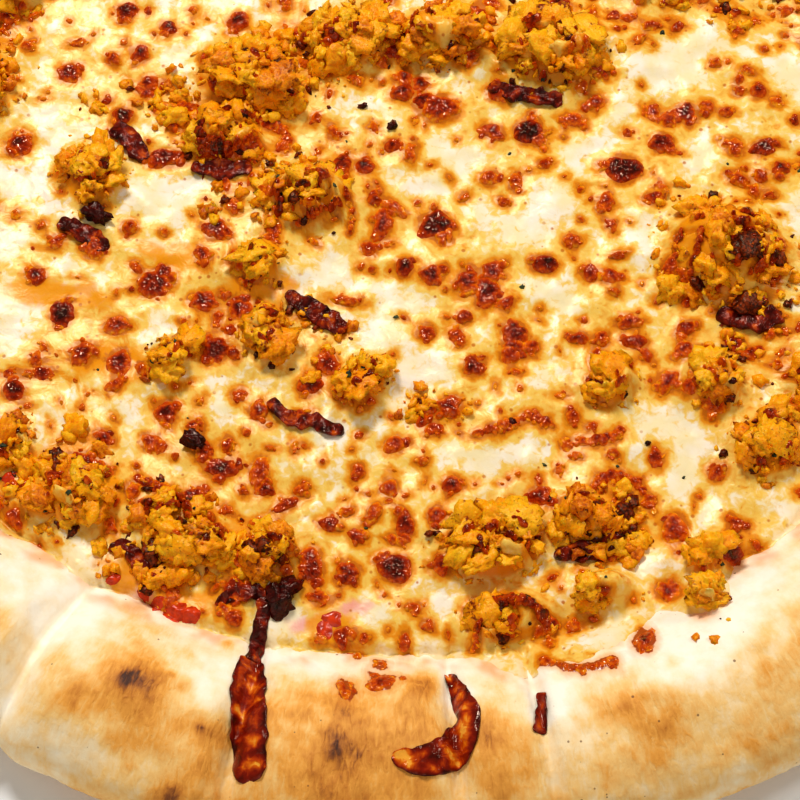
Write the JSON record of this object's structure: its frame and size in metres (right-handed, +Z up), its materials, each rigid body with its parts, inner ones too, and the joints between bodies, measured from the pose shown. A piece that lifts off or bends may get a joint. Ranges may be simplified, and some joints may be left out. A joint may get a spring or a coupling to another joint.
{
  "type": "chicken pizza",
  "caption": "Whole baked pizza with a puffy folded crust, tomato sauce, melted and browned cheese, heaps of spiced shredded chicken and dark onion strips.",
  "frame": {"origin": "middle of the flat underside, at the centre of the bounding box's floor", "axes": "+Z up, out of the topped side; -Y towards the side of the rim that carries the browned cheese runs"},
  "size_m": [0.355, 0.355, 0.0223],
  "materials": {
    "crust": "matte",
    "sauce": "satin",
    "cheese": "satin",
    "chicken": "satin",
    "onion": "gloss",
    "browned_cheese": "gloss"
  },
  "bodies": {
    "root": {"crust": "crust", "sauce": "sauce", "cheese": "cheese", "chicken_01": "chicken", "chicken_02": "chicken", "chicken_03": "chicken", "chicken_04": "chicken", "chicken_05": "chicken", "chicken_06": "chicken", "chicken_07": "chicken", "chicken_08": "chicken", "chicken_09": "chicken", "chicken_10": "chicken", "chicken_11": "chicken", "chicken_12": "chicken", "chicken_13": "chicken", "chicken_14": "chicken", "chicken_15": "chicken", "chicken_16": "chicken", "chicken_17": "chicken", "chicken_18": "chicken", "chicken_19": "chicken", "chicken_20": "chicken", "chicken_21": "chicken", "chicken_22": "chicken", "chicken_23": "chicken", "chicken_24": "chicken", "chicken_25": "chicken", "chicken_26": "chicken", "chicken_27": "chicken", "chicken_28": "chicken", "chicken_29": "chicken", "chicken_30": "chicken", "chicken_31": "chicken", "chicken_32": "chicken", "chicken_33": "chicken", "chicken_34": "chicken", "chicken_35": "chicken", "chicken_36": "chicken", "chicken_37": "chicken", "chicken_38": "chicken", "chicken_39": "chicken", "chicken_40": "chicken", "chicken_41": "chicken", "chicken_42": "chicken", "onion_01": "onion", "onion_02": "onion", "onion_03": "onion", "onion_04": "onion", "onion_05": "onion", "onion_06": "onion", "onion_07": "onion", "onion_08": "onion", "onion_09": "onion", "onion_10": "onion", "run_1": "browned_cheese", "run_2": "browned_cheese", "run_3": "browned_cheese"}
  },
  "joints": []
}
